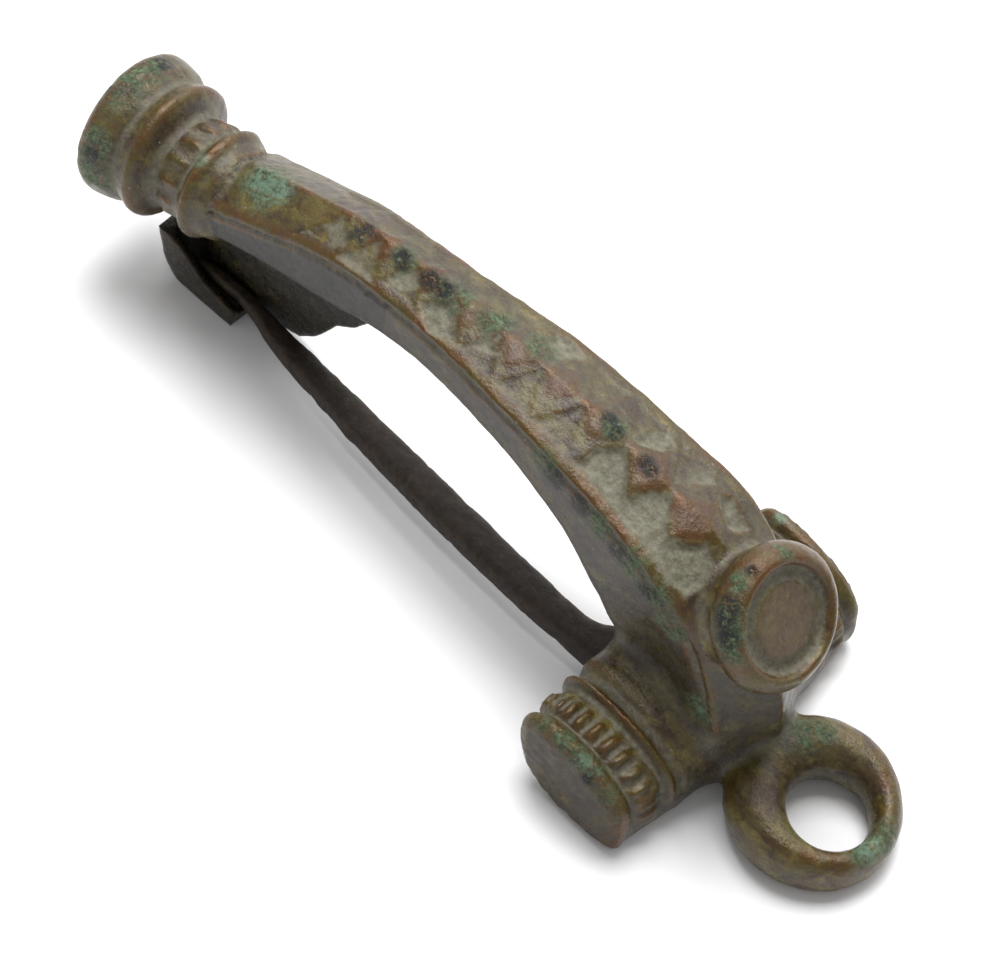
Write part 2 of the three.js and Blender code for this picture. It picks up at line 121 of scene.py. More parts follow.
KNOB_START = (-31.7, -0.2, 9.9)
KNOB_SLOPE = math.radians(10)
COLLAR_RIBS = 14
KNOB_PROFILE = [
    (0, -1.6), (2.5, -1.6), (2.95, -0.6), (3.2, -0.3), (3.35, 0), (3.2, 0.25), (2.84, 0.45),
    (2.8, 0.7), (2.8, 2.1), (2.8, 2.4), (3.1, 2.8), (3.75, 3.15), (4.0, 3.4), (4.06, 3.65),
    (3.95, 3.95), (3.82, 4.3), (3.78, 4.55), (3.95, 4.85), (4.15, 5.2), (4.28, 5.8), (4.35, 6.3),
    (4.33, 6.6), (4.15, 6.9), (3.65, 7.15), (2.2, 7.38), (0, 7.45),
]

STUD_RIM_CENTRE = (8.8, 0, 14.0)
STUD_TILT = math.radians(52)
STUD_PROFILE = [
    (0, -4.6), (3.2, -4.6), (3.3, -3.0), (3.36, -2.5), (3.56, -2.1), (3.88, -1.65), (4.07, -1.2),
    (4.1, -0.85), (4.02, -0.45), (3.78, -0.05), (3.48, 0.2), (3.24, 0.26), (3.08, 0.14),
    (2.98, -0.1), (2.84, -0.28), (2.6, -0.34), (2.35, -0.3), (2.1, -0.16), (1.85, -0.1),
    (0.9, -0.06), (0, -0.04),
]

# Wings: outline of the arch as (share of the width from the foot side, share of the height)
WING_OUTLINE = [
    (1.0, 0.12), (1.0, 0.45), (0.93, 0.68), (0.67, 0.9), (0.36, 0.99), (0.12, 0.97),
    (0.0, 0.8), (0.02, 0.5), (0.16, 0.18), (0.42, 0.0), (0.68, 0.0), (0.92, 0.0),
]
WING_FOOT_X = 0.75
WING_WIDTHS = (9.0, 7.6)             # at the bow, at the end
WING_HEIGHTS = (6.1, 5.9)
# Mouldings from the end inwards: (distance from the end, height above the plain arch)
WING_MOULDINGS = [
    (0.0, -0.75), (0.1, -0.42), (0.3, -0.12), (0.6, 0.05), (0.9, -0.02), (1.15, -0.26),
    (1.32, -0.5), (1.45, -0.5), (1.55, -0.42), (2.9, -0.42), (3.0, -0.36), (3.3, -0.36),
    (3.4, -0.55), (3.55, -0.5), (3.7, -0.02), (3.88, 0.12), (4.06, -0.02), (4.2, -0.28),
    (4.55, -0.3), (4.75, -0.4), (4.95, -0.12), (5.3, 0.0), (10.05, 0.0),
]
TOOTH_BAND = (1.55, 2.9)
TOOTH_PITCH = 0.035                  # share of the way round the arch
TOOTH_HEIGHT = 0.44

LOOP_RADIUS = 4.95
LOOP_Y = -0.3
LOOP_CENTRE_X = LOOP_END_X - LOOP_RADIUS
HOLE_RADIUS = 2.35
HOLE_CENTRE_X = 15.05
LOOP_HEIGHTS = (2.7, 4.0)            # at the end, at the root

# Catchplate: outlines seen from the side, and where each stands across
CATCH_PLATE_Y = (0.6, 1.7)
CATCH_LIP_Y = (-1.1, -0.55)
CATCH_PLATE_OUTLINE = [
    (-33.4, 0.4), (-28.7, 0.1), (-25.2, 1.3), (-24.2, 2.4), (-22.9, 4.9), (-21.8, 5.9),
    (-21.0, 7.3), (-21.0, 12.6), (-31.0, 10.4), (-33.6, 8.6), (-34.6, 5.5), (-34.9, 3.3),
]
CATCH_FLOOR_OUTLINE = [
    (-32.8, 0), (-28.7, 0), (-28.7, 0.75), (-32.4, 0.75), (-33.3, 1.6), (-33.9, 3.3),
    (-34.9, 3.3), (-34.2, 1.4), (-33.4, 0.4),
]
CATCH_LIP_OUTLINE = [
    (-32.8, 0.2), (-28.7, 0.2), (-28.6, 1.3), (-31.0, 1.7), (-33.2, 3.1), (-34.8, 3.3),
    (-34.2, 1.4), (-33.4, 0.5),
]

HINGE_X = 4.4
HINGE_Z = 2.2
BORE_RADIUS = 1.0
BAR_NEAR_Y = -8.7
SLOT_Y = (-3.5, 1.7)
SLOT_RADIUS = 2.35
SLOT_MOUTH_X = -6

PIN_HEAD_Y = (-3.3, 1.5)
PIN_HEAD_RADIUS = 1.85
PIN_Z = 1.95
PIN_THICKNESS = 1.6
# Shaft stations: (x, y, z, width, thickness)
PIN_STATIONS = [
    (-0.4, -2.15, PIN_Z, 2.1, PIN_THICKNESS), (-6.0, -2.1, 1.9, 2.15, 1.6),
    (-14.0, -1.6, 1.8, 2.15, 1.6), (-20.5, -1.05, 1.7, 1.85, 1.45), (-25.3, -0.55, 1.6, 1.4, 1.2),
    (-28.4, 0.02, 1.55, 0.85, 0.9), (-31.0, 0.05, 1.55, 0.75, 0.75), (-32.6, 0.05, 1.5, 0.3, 0.3),
]

# Corrosion and finds on the surface: (x, y, z, reach in mm)
TURQUOISE_SPOTS = [
    (-28.4, -0.55, 13.9, 1.0), (-29.2, -0.5, 13.6, 0.9), (-27.5, -0.6, 14.3, 0.9),
    (-32.4, -1.55, 12.7, 0.55), (4.9, -9.7, 5.4, 0.6), (2.1, 9.3, 6.1, 0.6),
    (18.2, -0.6, 2.6, 0.9), (7.4, -3.3, 7.0, 0.45),
]
GREEN_SPOTS = [
    (-28.6, -0.6, 13.8, 1.9), (-38.7, -1.4, 12.9, 1.6), (-38.5, -0.2, 13.0, 1.3),
    (-38.3, 0.6, 13.0, 1.2), (-37.7, -3.9, 10.7, 1.3), (-37.6, -4.3, 9.6, 1.4),
    (-37.2, -4.3, 8.6, 1.2), (-19.0, -0.3, 16.9, 0.9), (-15.6, -0.1, 17.1, 1.3),
    (-13.0, 0.3, 17.3, 1.2), (-10.2, 0.8, 17.2, 1.1), (-4.3, 0.1, 17.2, 1.0),
    (7.3, -3.4, 15.3, 1.5), (8.1, -3.8, 14.4, 1.0), (6.2, -1.7, 16.6, 0.8), (6.6, 1.4, 16.7, 0.7),
    (2.0, -9.5, 5.7, 0.7), (3.4, -9.5, 5.9, 0.8), (4.6, -9.5, 5.6, 0.9), (5.6, -9.5, 5.1, 0.8),
    (6.8, -9.5, 4.2, 0.8), (7.6, -9.5, 3.3, 0.6), (11.4, 1.2, 3.9, 1.3), (12.0, 2.2, 3.8, 1.0), (17.9, -1.1, 2.7, 1.1),
    (18.3, 0.6, 2.6, 1.2), (7.4, -3.4, 7.0, 1.2), (-1.5, -3.6, 14.9, 1.2), (1.0, -3.7, 14.4, 1.3),
    (2.9, -3.7, 13.7, 1.3), (4.3, -3.7, 12.1, 1.3), (-5.8, -3.4, 15.6, 1.1),
]
# Pale grains stuck to the surface
CHIPS = [(-16.0, -2.45, 15.95, 0.3), (3.7, -2.3, 14.8, 0.35), (-32.2, -1.4, 12.8, 0.25)]
BLACK_SPOTS = [
    (-22.0, -0.7, 16.3, 0.7), (-21.8, -0.25, 16.5, 0.55), (-19.2, -0.25, 16.9, 0.65),
    (-19.0, -0.55, 16.8, 0.5), (-17.1, -0.3, 17.1, 0.75), (-16.2, -0.25, 17.1, 0.85),
    (-4.8, 0.25, 17.2, 0.6), (-4.1, 0.0, 17.1, 0.6), (-1.8, -0.05, 16.8, 0.6),
    (-1.4, -0.15, 16.7, 0.55), (-38.2, 1.4, 12.7, 0.8), (-37.6, -4.1, 10.2, 0.7),
    (6.7, -2.8, 16.0, 0.8), (6.9, -3.3, 15.5, 0.9), (7.6, -3.7, 14.9, 0.8), (6.3, -0.8, 16.9, 0.4),
    (-5.0, -3.5, 15.2, 0.9), (-3.0, -3.6, 15.0, 0.9), (0.0, -3.7, 14.3, 0.8), (2.4, -3.8, 13.4, 0.8),
    (-23.6, -1.1, 15.1, 0.25), (5.6, -9.9, 4.8, 0.5),
]


# ---------------------------------------------------------------- curves and shells

def spline(points, places):
    """Points on a smooth curve through the given points, for places from 0 to 1."""
    points = np.asarray(points, float)
    if points.ndim == 1:
        points = points[:, None]
    last = len(points) - 1
    reach = np.clip(np.asarray(places, float), 0, 1) * last
    start = np.minimum(reach.astype(int), last - 1)
    t = (reach - start)[:, None]
    before, here = points[np.maximum(start - 1, 0)], points[start]
    ahead, after = points[start + 1], points[np.minimum(start + 2, last)]
    bend = 2 * before - 5 * here + 4 * ahead - after
    swing = 3 * here - before - 3 * ahead + after
    return 0.5 * (2 * here + (ahead - before) * t + bend * t ** 2 + swing * t ** 3)


def closed_spline(points, places):
    """The same on a closed curve, where place 1 is place 0 again."""
    ring = [points[-1]] + list(points) + [points[0], points[1]]
    count = len(points)
    inner = (1 + (np.asarray(places, float) % 1) * count) / (count + 2)
    return spline(ring, inner)


def stretch(corners, steps):
    """Straight lines between corners, each cut into steps."""
    corners = np.asarray(corners, float)
    shares = np.arange(steps)[:, None] / steps
    lines = [a + (b - a) * shares for a, b in zip(corners[:-1], corners[1:])]
    return np.concatenate(lines + [corners[-1:]])


def smooth_step(low, high, value):
    t = np.clip((value - low) / (high - low), 0, 1)
    return t * t * (3 - 2 * t)


def shell(rings, closed=False):
    """Corners and faces of a skin over rings of points, capped at both ends or closed on itself."""
    rings = np.asarray(rings, float)
    count, sides = rings.shape[:2]
    corners = rings.reshape(-1, 3)
    row = np.arange(count if closed else count - 1)[:, None]
    side = np.arange(sides)[None, :]
    turn = (side + 1) % sides
    nxt = (row + 1) % count
    quads = np.stack([row * sides + side, row * sides + turn, nxt * sides + turn,
                      nxt * sides + side], -1).reshape(-1, 4)
    faces = quads.tolist()
    if not closed:
        first, last = len(corners), len(corners) + 1
        corners = np.concatenate([corners, rings[:1].mean(1), rings[-1:].mean(1)])
        base = (count - 1) * sides
        for i in range(sides):
            j = (i + 1) % sides
            faces.append([first, j, i])
            faces.append([last, base + i, base + j])
    return turned_out(corners, faces)


def turned_out(corners, faces):
    """Turns the faces so that the shell holds a positive volume."""
    volume = 0.0
    for face in faces:
        a, b, c = (corners[i] for i in face[:3])
        volume += np.dot(a, np.cross(b, c))
        if len(face) == 4:
            volume += np.dot(a, np.cross(c, corners[face[3]]))
    if volume < 0:
        faces = [face[::-1] for face in faces]
    return corners, faces


def lathe(profile, steps=160):
    """A turned shape about +Z from (radius, height) points that start and end on the axis."""
    profile = spline(profile, np.linspace(0, 1, len(profile) * 5))
    angle = np.linspace(0, 2 * math.pi, steps, endpoint=False)
    radius = np.maximum(profile[:, 0], 0.001)[:, None]
    rings = np.stack([radius * np.cos(angle), radius * np.sin(angle),
                      np.repeat(profile[:, 1:], steps, 1)], -1)
    return rings


def plate(outline, y):
    """A flat plate standing in the bow's direction."""
    near = np.array([(x, y[0], z) for x, z in outline])
    far = np.array([(x, y[1], z) for x, z in outline])
    count = len(outline)
    faces = [list(range(count)), list(range(2 * count - 1, count - 1, -1))]
    for i in range(count):
        j = (i + 1) % count
        faces.append([j, i, count + i, count + j])
    return np.concatenate([near, far]), faces


def rod(radius, y, x, z, sides=64):
    angle = np.linspace(0, 2 * math.pi, sides, endpoint=False)
    ring = [np.stack([x + radius * np.cos(angle), np.full(sides, end), z + radius * np.sin(angle)], 1)
            for end in y]
    return shell(ring)


def block(x, y, z):
    return plate([(x[0], z[0]), (x[1], z[0]), (x[1], z[1]), (x[0], z[1])], y)


# ---------------------------------------------------------------- the casting's own shapes

def bow_stations(places):
    """Foot of the section, its up direction, its depth, half width and roof drop."""
    top, bottom = spline(RIDGE, places), spline(UNDERSIDE, places)
    depth = np.linalg.norm(top - bottom, axis=1)
    up = (top - bottom) / depth[:, None]
    half = spline(BOW_HALF_WIDTH, places)[:, 0]
    drop = spline(ROOF_DROP, places)[:, 0]
    return bottom, up, depth, half, drop


def bow_shell():
    places = np.linspace(0, 1, 260)
    bottom, up, depth, half, drop = bow_stations(places)
    section = stretch(BOW_SECTION, 6)
    share, roof, wall = section.T
    both = np.concatenate([np.arange(len(share)), np.arange(len(share) - 1, 0, -1)])
    side = np.concatenate([-np.ones(len(share)), np.ones(len(share) - 1)])
    head = smooth_step(0.52, 0.74, places)[:, None]
    hollow = HEAD_HOLLOW * head * np.sin(math.pi * np.clip((wall[both] - 0.2) / 0.8, 0, 1))[None]
    across = side * (share[both][None] - hollow) * half[:, None]
    height = depth[:, None] + roof[both] * drop[:, None] - wall[both] * (depth - drop)[:, None]
    rings = np.stack([bottom[:, :1] + up[:, :1] * height, across,
                      bottom[:, 1:] + up[:, 1:] * height], -1)
    return shell(rings)


def onto_knob(points):
    """Moves points made about +Z onto the knob's axis, which falls towards the foot."""
    outward = Vector((-math.cos(KNOB_SLOPE), 0, -math.sin(KNOB_SLOPE)))
    across = Vector((0, 1, 0))
    square = outward.cross(across)
    frame_of_knob = np.array([across, square, outward])
    return points @ frame_of_knob + np.array(KNOB_START)


def knob_shell():
    rings = lathe(KNOB_PROFILE)
    angle = np.arctan2(rings[..., 1], rings[..., 0])
    height = rings[..., 2]
    radius = np.hypot(rings[..., 0], rings[..., 1])
    # slanting oval ribs on the collar, worn low where they meet the dirt
    turn = angle * COLLAR_RIBS / (2 * math.pi) + 0.12 * (height - 1.4)
    ridge = np.clip(np.cos(2 * math.pi * turn), 0, 1) ** 0.8
    band = np.clip(1 - ((height - 1.45) / 0.78) ** 2, 0, 1)
    lift = 0.3 * ridge * band * (radius > 2)
    grow = (radius + lift) / radius
    rings[..., 0] *= grow
    rings[..., 1] *= grow
    return shell(onto_knob(rings))


def onto_stud(points):
    lean = Matrix.Rotation(STUD_TILT, 3, "Y")
    return points @ np.array(lean.transposed()) + np.array(STUD_RIM_CENTRE)


def stud_shell():
    return shell(onto_stud(lathe(STUD_PROFILE)))


def wing_rings(distances, side, turns):
    """Rings round one wing, at distances from its end; side is -1 for the near wing."""
    outline = closed_spline(WING_OUTLINE, turns)
    plain = smooth_step(0.09, 0.03, turns) + smooth_step(0.9, 0.97, turns)
    knots, lifts = np.array(WING_MOULDINGS).T
    rings = []
    for distance in distances:
        y = WING_HALF_SPAN - distance
        share = y / WING_HALF_SPAN
        width = WING_WIDTHS[0] + (WING_WIDTHS[1] - WING_WIDTHS[0]) * share
        height = WING_HEIGHTS[0] + (WING_HEIGHTS[1] - WING_HEIGHTS[0]) * share
        lift = np.interp(distance, knots, lifts)
        offset = np.full(len(turns), lift)
        if distance > 0.7:
            offset = offset * (1 - plain) - 0.1 * plain
        if TOOTH_BAND[0] < distance < TOOTH_BAND[1]:
            toward = (distance - TOOTH_BAND[0]) / (TOOTH_BAND[1] - TOOTH_BAND[0])
            body = np.clip(4 * toward * (1 - toward), 0, 1) ** 0.35
            wave = np.clip(0.5 + 0.75 * np.cos(2 * math.pi * turns / TOOTH_PITCH), 0, 1)
            there = smooth_step(0.03, 0.06, turns) * smooth_step(0.62, 0.56, turns)
            offset = offset + TOOTH_HEIGHT * body * wave * there
        x = WING_FOOT_X + (outline[:, 0] - 0.5) * (width + 2 * offset) + width / 2
        z = (outline[:, 1] - 0.5) * (height + 2 * offset) + height / 2
        rings.append(np.stack([x, np.full(len(turns), side * y), np.maximum(z, 0)], 1))
    return rings


def wings_shell():
    turns = np.linspace(0, 1, 420, endpoint=False)
    distances = np.concatenate([[0, 0.05], np.arange(0.1, 5.4, 0.07), [7.0, 9.0]])
    near = wing_rings(distances, -1, turns)
    far = wing_rings(distances, 1, turns)
    return shell(near + far[::-1])


def loop_shell():
    turn = np.linspace(0, 2 * math.pi, 200, endpoint=False)[:, None]
    angle = np.linspace(0, 2 * math.pi, 64, endpoint=False)[None]
    shift = HOLE_CENTRE_X - LOOP_CENTRE_X
    reach = np.sqrt(LOOP_RADIUS ** 2 - (shift * np.sin(turn)) ** 2) - shift * np.cos(turn)
    middle, half = (reach + HOLE_RADIUS) / 2, (reach - HOLE_RADIUS) / 2
    height = LOOP_HEIGHTS[0] + (LOOP_HEIGHTS[1] - LOOP_HEIGHTS[0]) * (1 - np.cos(turn)) / 2
    radius = middle + half * np.cos(angle)
    rings = np.stack([HOLE_CENTRE_X + radius * np.cos(turn), LOOP_Y + radius * np.sin(turn),
                      height / 2 * (1 + np.sin(angle)) + 0 * turn], -1)
    return shell(rings, closed=True)


def catch_shells():
    return [plate(CATCH_PLATE_OUTLINE, CATCH_PLATE_Y),
            plate(CATCH_FLOOR_OUTLINE, (CATCH_LIP_Y[0], CATCH_PLATE_Y[1])),
            plate(CATCH_LIP_OUTLINE, CATCH_LIP_Y)]


# ---------------------------------------------------------------- working on a dense skin

def temporary(corners, faces, name="work"):
    mesh = bpy.data.meshes.new(name)
    mesh.from_pydata(np.asarray(corners).tolist(), [], faces)
    mesh.validate()
    item = bpy.data.objects.new(name, mesh)
    bpy.context.scene.collection.objects.link(item)
    return item


def joined(shells):
    corners, faces, start = [], [], 0
    for points, sides in shells:
        corners.append(points)
        faces += [[index + start for index in face] for face in sides]
        start += len(points)
    return np.concatenate(corners), faces


def settled(item):
    """The mesh that an object's modifiers make, as a new mesh; the object goes."""
    graph = bpy.context.evaluated_depsgraph_get()
    mesh = bpy.data.meshes.new_from_object(item.evaluated_get(graph))
    old = item.data
    bpy.data.objects.remove(item)
    bpy.data.meshes.remove(old)
    return mesh


def skinned(shells, voxel):
    """One closed skin over overlapping shells."""
    item = temporary(*joined(shells))
    melt = item.modifiers.new("skin", "REMESH")
    melt.mode = "VOXEL"
    melt.voxel_size = voxel
    return settled(item)


class Skin:
    """A dense mesh as arrays, with what smoothing and relief need."""

    def __init__(self, mesh):
        self.mesh = mesh
        self.count = len(mesh.vertices)
        self.points = np.empty(self.count * 3)
        mesh.vertices.foreach_get("co", self.points)
        self.points = self.points.reshape(-1, 3)
        edges = np.empty(len(mesh.edges) * 2, int)
        mesh.edges.foreach_get("vertices", edges)
        self.a, self.b = edges.reshape(-1, 2).T
        self.valence = np.bincount(self.a, minlength=self.count)
        self.valence = np.maximum(self.valence + np.bincount(self.b, minlength=self.count), 1)

    def neighbours(self, values):
        """The mean of each corner's neighbours."""
        flat = values.reshape(self.count, -1)
        total = np.empty_like(flat)
        for k in range(flat.shape[1]):
            total[:, k] = np.bincount(self.a, flat[self.b, k], self.count)
            total[:, k] += np.bincount(self.b, flat[self.a, k], self.count)
        return (total / self.valence[:, None]).reshape(values.shape)

    def relax(self, weight, rounds):
        """Smooths the surface where the weight says so."""
        step = 0.5 * np.clip(weight, 0, 1)[:, None]
        for _ in range(rounds):
            self.points += step * (self.neighbours(self.points) - self.points)

    def spread(self, values, rounds):
        for _ in range(rounds):
            values = 0.5 * values + 0.5 * self.neighbours(values)
        return values

    def store(self):
        self.mesh.vertices.foreach_set("co", self.points.ravel())
        self.mesh.update()

    def normals(self):
        self.store()
        out = np.empty(self.count * 3)
        self.mesh.vertex_normals.foreach_get("vector", out)
        return out.reshape(-1, 3)

    def hollowness(self, rounds):
        """How hollow the surface is, positive in grooves and negative on crests, per mm."""
        bend = ((self.neighbours(self.points) - self.points) * self.normals()).sum(1)
        gap = np.linalg.norm(self.points[self.a] - self.points[self.b], axis=1).mean()
        return self.spread(4 * bend / gap ** 2, rounds)

    def mark(self, name, values):
        layer = self.mesh.attributes.new(name, "FLOAT", "POINT")
        layer.data.foreach_set("value", np.clip(values, 0, 1).astype(np.float32))


def grain(points, size, octaves=3, seed=0.0):
    """Smooth noise of about -1 to 1 with features of the given size in mm."""
    shift = Vector((seed * 7.31, seed * 3.17, seed * 5.73))
    return np.array([noise.fractal(Vector(p) / size + shift, 1.0, 2.0, octaves) for p in points])


def distance_to(points, shell_parts):
    corners, faces = joined(shell_parts)
    tree = BVHTree.FromPolygons([tuple(c) for c in corners], faces)
    return np.array([tree.find_nearest(Vector(p))[3] for p in points])


def near_spots(points, spots):
    """Strength of a set of spots at each point, 1 at a spot's middle."""
    best = np.zeros(len(points))
    for x, y, z, reach in spots:
        far = np.linalg.norm(points - (x, y, z), axis=1) / reach
        best = np.maximum(best, 1 - smooth_step(0.35, 1.25, far))
    return best


# ---------------------------------------------------------------- relief on the bow

def bow_places(points):
    """Where points stand along the bow: place, x of the ridge there, drops below the ridge, half
    width and roof drop."""
    places = np.linspace(0, 1, 400)
    bottom, up, depth, half, drop = bow_stations(places)
    flat = points[:, [0, 2]]
    side = np.empty((len(points), len(places)), np.float32)
    for k in range(len(places)):
        away = flat - bottom[k]
        side[:, k] = away[:, 0] * up[k, 1] - away[:, 1] * up[k, 0]
    later = np.argmax(side < 0, axis=1)
    later = np.clip(later, 1, len(places) - 1)
    rows = np.arange(len(points))
    ahead, behind = side[rows, later], side[rows, later - 1]
    part = np.clip(behind / np.where(np.abs(behind - ahead) < 1e-9, 1, behind - ahead), 0, 1)
    place = places[later - 1] + part * (places[1] - places[0])
    bottom, up, depth, half, drop = bow_stations(place)
    height = ((flat - bottom) * up).sum(1)
    return place, spline(RIDGE, place)[:, 0], (depth - height) / drop, half, drop


def cell_centre(index):
    return CELL_FIRST_X + index * CELL_PITCH + index * (index - 1) / 2 * CELL_PITCH_GROWTH


def worn_cells(ridge_x, across, half):
    """The regular zig-zag of cells, 1 inside a cell, 0 outside."""
    inside = np.zeros(len(ridge_x))
    out = np.abs(across) / (CELL_REACH * half)
    for index in range(CELL_COUNT):
        pitch = CELL_PITCH + index * CELL_PITCH_GROWTH
        edge = 0.45 * pitch * out - np.abs(ridge_x - cell_centre(index))
        reach = np.minimum(np.minimum(edge, (1.02 - out) * half), (out - 0.1) * half)
        inside = np.maximum(inside, smooth_step(-0.1, 0.35, reach))
    return inside


def stud_place(points):
    """Height above the stud's rim plane and distance from its axis."""
    axis = np.array([math.sin(STUD_TILT), 0, math.cos(STUD_TILT)])
    away = points - STUD_RIM_CENTRE
    rise = away @ axis
    return rise, np.linalg.norm(away - rise[:, None] * axis, axis=1)


def depth_inside(x, y, outline):
    """Distance in from an outline, negative outside it."""
    near, inside = np.full(len(x), np.inf), np.zeros(len(x), bool)
    for (ax, ay), (bx, by) in zip(outline, outline[1:] + outline[:1]):
        run, rise = bx - ax, by - ay
        along = np.clip(((x - ax) * run + (y - ay) * rise) / (run ** 2 + rise ** 2), 0, 1)
        near = np.minimum(near, np.hypot(x - ax - along * run, y - ay - along * rise))
        level = rise if abs(rise) > 1e-9 else 1e-9
        inside ^= ((ay > y) != (by > y)) & (x < ax + (y - ay) / level * run)
    return np.where(inside, near, -near)


def filled_cells(x, y):
    """Sinking in mm and paleness of the cells that keep their fill."""
    sunk, pale = np.zeros(len(x)), np.zeros(len(x))
    for outline, deep, light in FILLED_CELLS:
        reach = depth_inside(x, y, outline)
        sunk = np.maximum(sunk, deep * smooth_step(-0.12, 0.3, reach))
        pale = np.maximum(pale, light * smooth_step(-0.18, 0.12, reach))
    return sunk, pale


def lozenges(x, y):
    """Height in mm of the lozenges on the ridge, and where they are."""
    high, there = np.zeros(len(x)), np.zeros(len(x))
    for start, end, near, far, height in LOZENGES:
        reach = np.where(y < 0, near, far)
        out = np.abs(x - (start + end) / 2) / ((end - start) / 2) + np.abs(y) / reach
        high = np.maximum(high, height * smooth_step(1.12, 0.6, out))
        there = np.maximum(there, smooth_step(1.15, 0.85, out))
    return high, there


# ---------------------------------------------------------------- materials

def tone(red, green, blue, depth=0.78):
    """A linear colour from 0 to 255 values, deepened for the bright studio."""
    parts = [c / 255 for c in (red, green, blue)]
    return tuple(depth * (c / 12.92 if c <= 0.04045 else ((c + 0.055) / 1.055) ** 2.4)
                 for c in parts) + (1,)


class Finish:
    """Builds one material's nodes."""

    def __init__(self, name):
        self.material = bpy.data.materials.new(name)
        self.material.use_nodes = True
        self.tree = self.material.node_tree
        self.shader = self.tree.nodes["Principled BSDF"]
        self.place = self.add("ShaderNodeTexCoord").outputs["Object"]

    def add(self, kind, **values):
        node = self.tree.nodes.new(kind)
        for key, value in values.items():
            setattr(node, key, value)
        return node

    def join(self, socket, value):
        if isinstance(value, bpy.types.NodeSocket):
            self.tree.links.new(value, socket)
        else:
            socket.default_value = value

    def mark(self, name):
        return self.add("ShaderNodeAttribute", attribute_name=name).outputs["Fac"]

    def cloud(self, size, detail=4.0, rough=0.55, low=0.35, high=0.65, warp=0.0, stretch=None):
        """Noise with features of the given size in mm, spread between two levels."""
        node = self.add("ShaderNodeTexNoise")
        place = self.place
        if stretch:
            longer = self.add("ShaderNodeMapping")
            self.join(longer.inputs["Vector"], place)
            longer.inputs["Scale"].default_value = stretch
            place = longer.outputs["Vector"]
        self.join(node.inputs["Vector"], place)
        node.inputs["Scale"].default_value = 1 / (size * MM)
        node.inputs["Detail"].default_value = detail
        node.inputs["Roughness"].default_value = rough
        node.inputs["Distortion"].default_value = warp
        return self.between(node.outputs["Fac"], low, high)

    def between(self, value, low, high, new_low=0.0, new_high=1.0):
        node = self.add("ShaderNodeMapRange")
        self.join(node.inputs["Value"], value)
        for name, number in zip(("From Min", "From Max", "To Min", "To Max"),
                                (low, high, new_low, new_high)):
            node.inputs[name].default_value = number
        return node.outputs["Result"]

    def sums(self, operation, a, b):
        node = self.add("ShaderNodeMath", operation=operation, use_clamp=operation != "SUBTRACT")
        self.join(node.inputs[0], a)
        self.join(node.inputs[1], b)
        return node.outputs[0]

    def over(self, under, upper, share):
        """Lays one colour over another."""
        node = self.add("ShaderNodeMix", data_type="RGBA")
        self.join(node.inputs["Factor"], share)
        self.join(node.inputs["A"], under)
        self.join(node.inputs["B"], upper)
        return node.outputs["Result"]

    def bump(self, height, distance, strength=1.0, under=None):
        node = self.add("ShaderNodeBump")
        node.inputs["Distance"].default_value = distance * MM
        node.inputs["Strength"].default_value = strength
        self.join(node.inputs["Height"], height)
        if under is not None:
            self.join(node.inputs["Normal"], under)
        return node.outputs["Normal"]


def flecks(finish, size, share):
    """Small round flecks scattered over a surface."""
    node = finish.add("ShaderNodeTexVoronoi")
    finish.join(node.inputs["Vector"], finish.place)
    node.inputs["Scale"].default_value = 1 / (size * MM)
    few = finish.between(node.outputs["Color"], share, share - 0.02)
    dot = finish.between(node.outputs["Distance"], 0.22, 0.1)
    return finish.sums("MULTIPLY", few, dot)


